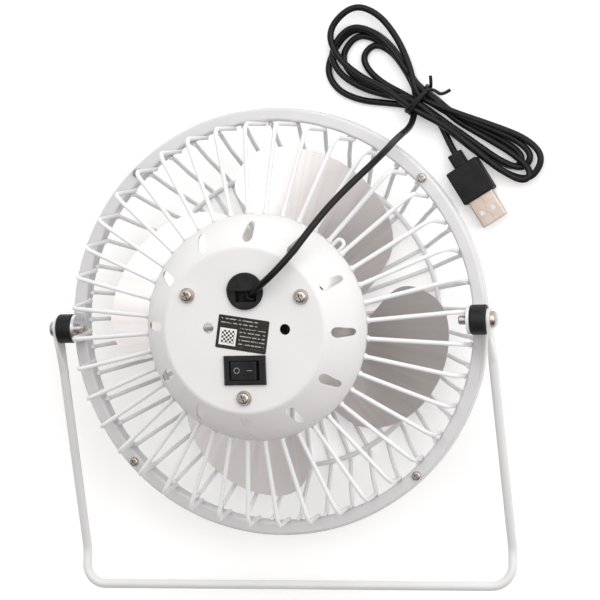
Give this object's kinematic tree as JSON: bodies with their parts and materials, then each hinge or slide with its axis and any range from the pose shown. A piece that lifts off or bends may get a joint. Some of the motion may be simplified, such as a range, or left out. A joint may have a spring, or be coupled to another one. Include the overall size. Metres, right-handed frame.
{
  "type": "desk fan",
  "caption": "Small USB desk fan lying face down: round wire cage, four-blade rotor, rear motor housing with rocker switch, tilting wire stand and tied cord.",
  "frame": {"origin": "middle of the flat front face of the front cage, on the rotor axis, which is the face the fan lies on", "axes": "+Z along the rotor axis, out of the back of the fan; +Y away from the stand foot bar; +X along the stand hinge"},
  "size_m": [0.2124, 0.2529, 0.0897],
  "materials": {
    "white_paint": "satin",
    "front_paint": "satin",
    "wire_paint": "satin",
    "stand_paint": "satin",
    "bracket_zinc": "satin",
    "screw_steel": "bright",
    "pivot_black": "satin",
    "grommet_black": "satin",
    "switch_black": "satin",
    "rocker_black": "satin",
    "label_black": "satin",
    "cord_black": "satin",
    "tie_black": "matte",
    "plug_black": "matte",
    "plug_shell": "bright",
    "plug_tongue": "matte",
    "contact_gold": "bright",
    "lead_red": "satin",
    "lead_black": "satin",
    "holder_white": "matte",
    "cap_white": "matte",
    "motor_steel": "satin",
    "magnet_dark": "matte",
    "copper": "satin",
    "bush_bronze": "satin",
    "shaft_steel": "bright",
    "core_steel": "satin",
    "blade_metal": "satin",
    "hub_white": "satin",
    "rivet_metal": "satin"
  },
  "bodies": {
    "head": {"rear_band": "white_paint", "front_band": "white_paint", "rear_cage_wires": "wire_paint", "front_cage_wires": "wire_paint", "front_stiffening_ring": "wire_paint", "front_centre_ring": "wire_paint", "front_centre_cap": "front_paint", "rear_housing": "white_paint", "housing_washers": "screw_steel", "housing_screws": "screw_steel", "band_screws": "screw_steel", "wire_hook": "wire_paint", "cable_grommet": "grommet_black", "rating_label": "label_black", "switch_body": "switch_black", "switch_terminals": "contact_gold", "motor_holder": "holder_white", "motor_can": "motor_steel", "motor_end_cap": "cap_white", "motor_bushes": "bush_bronze", "motor_magnets": "magnet_dark", "motor_brushes": "copper", "motor_terminals": "contact_gold", "pivot_brackets": "bracket_zinc", "pivot_spacers": "pivot_black", "pivot_screws": "screw_steel", "red_leads": "lead_red", "black_lead": "lead_black", "cord_tube": "cord_black", "cord_hank": "cord_black", "cord_plug_lead": "cord_black", "cord_tie": "tie_black", "usb_overmold": "plug_black", "usb_shell": "plug_shell", "usb_tongue": "plug_tongue", "usb_contacts": "contact_gold"},
    "stand": {"stand": "stand_paint"},
    "rotor": {"fan_blades": "blade_metal", "blade_hub": "hub_white", "hub_rivets": "rivet_metal", "blade_cap": "hub_white", "motor_shaft": "shaft_steel", "armature_core": "core_steel", "armature_windings": "copper", "commutator": "copper"},
    "rocker": {"switch_rocker": "rocker_black"}
  },
  "joints": [
    {"name": "stand_tilt", "type": "hinge", "parent": "head", "child": "stand", "pos_m": [0, 0, 0.0449], "axis": [-1, 0, 0], "range_deg": [-7.5, 180]},
    {"name": "rotor_spin", "type": "hinge", "parent": "head", "child": "rotor", "pos_m": [0, 0, 0.03], "axis": [0, 0, 1], "continuous": true},
    {"name": "rocker_throw", "type": "hinge", "parent": "head", "child": "rocker", "pos_m": [0, -0.0164, 0.0815], "axis": [0, 1, 0], "range_deg": [0, 16]}
  ]
}
